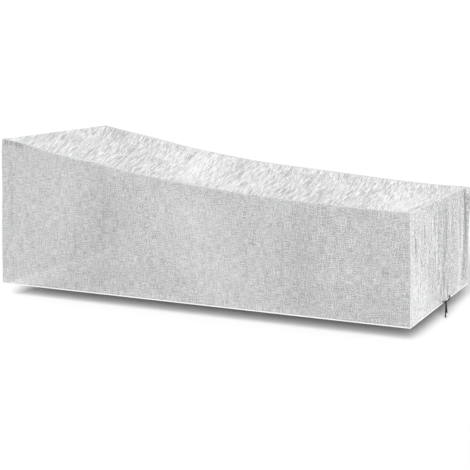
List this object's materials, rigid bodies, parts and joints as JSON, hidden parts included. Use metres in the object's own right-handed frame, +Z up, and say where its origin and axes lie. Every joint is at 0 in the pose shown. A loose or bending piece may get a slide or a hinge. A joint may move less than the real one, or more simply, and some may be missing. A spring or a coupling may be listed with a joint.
{
  "type": "lounge chair cover",
  "caption": "Fitted see-through woven cover, open below, with a high head end, a top that falls in a hollow curve to a low foot end, and a drawcord tied at the foot hem.",
  "frame": {"origin": "under the middle of the top panel, where what the cover goes over bears on the cloth", "axes": "+X from the high head end to the low foot end, +Y from the near side to the far side, +Z up; the hem lies at z = -0.531 m"},
  "size_m": [2.0568, 0.9624, 0.7695],
  "materials": {
    "cloth_top": "woven polyethylene, soft sheen, crinkled",
    "cloth_wall": "woven polyethylene, soft sheen, smooth",
    "cord": "braided, matt black"
  },
  "bodies": {
    "root": {"top_panel": "cloth_top", "side_panel_near": "cloth_wall", "side_panel_far": "cloth_wall", "end_panel_foot": "cloth_wall", "end_panel_head": "cloth_wall", "drawcord_leg_near": "cord", "drawcord_leg_far": "cord", "drawcord_knot": "cord", "drawcord_tail_short": "cord", "drawcord_tail_long": "cord"}
  },
  "joints": []
}
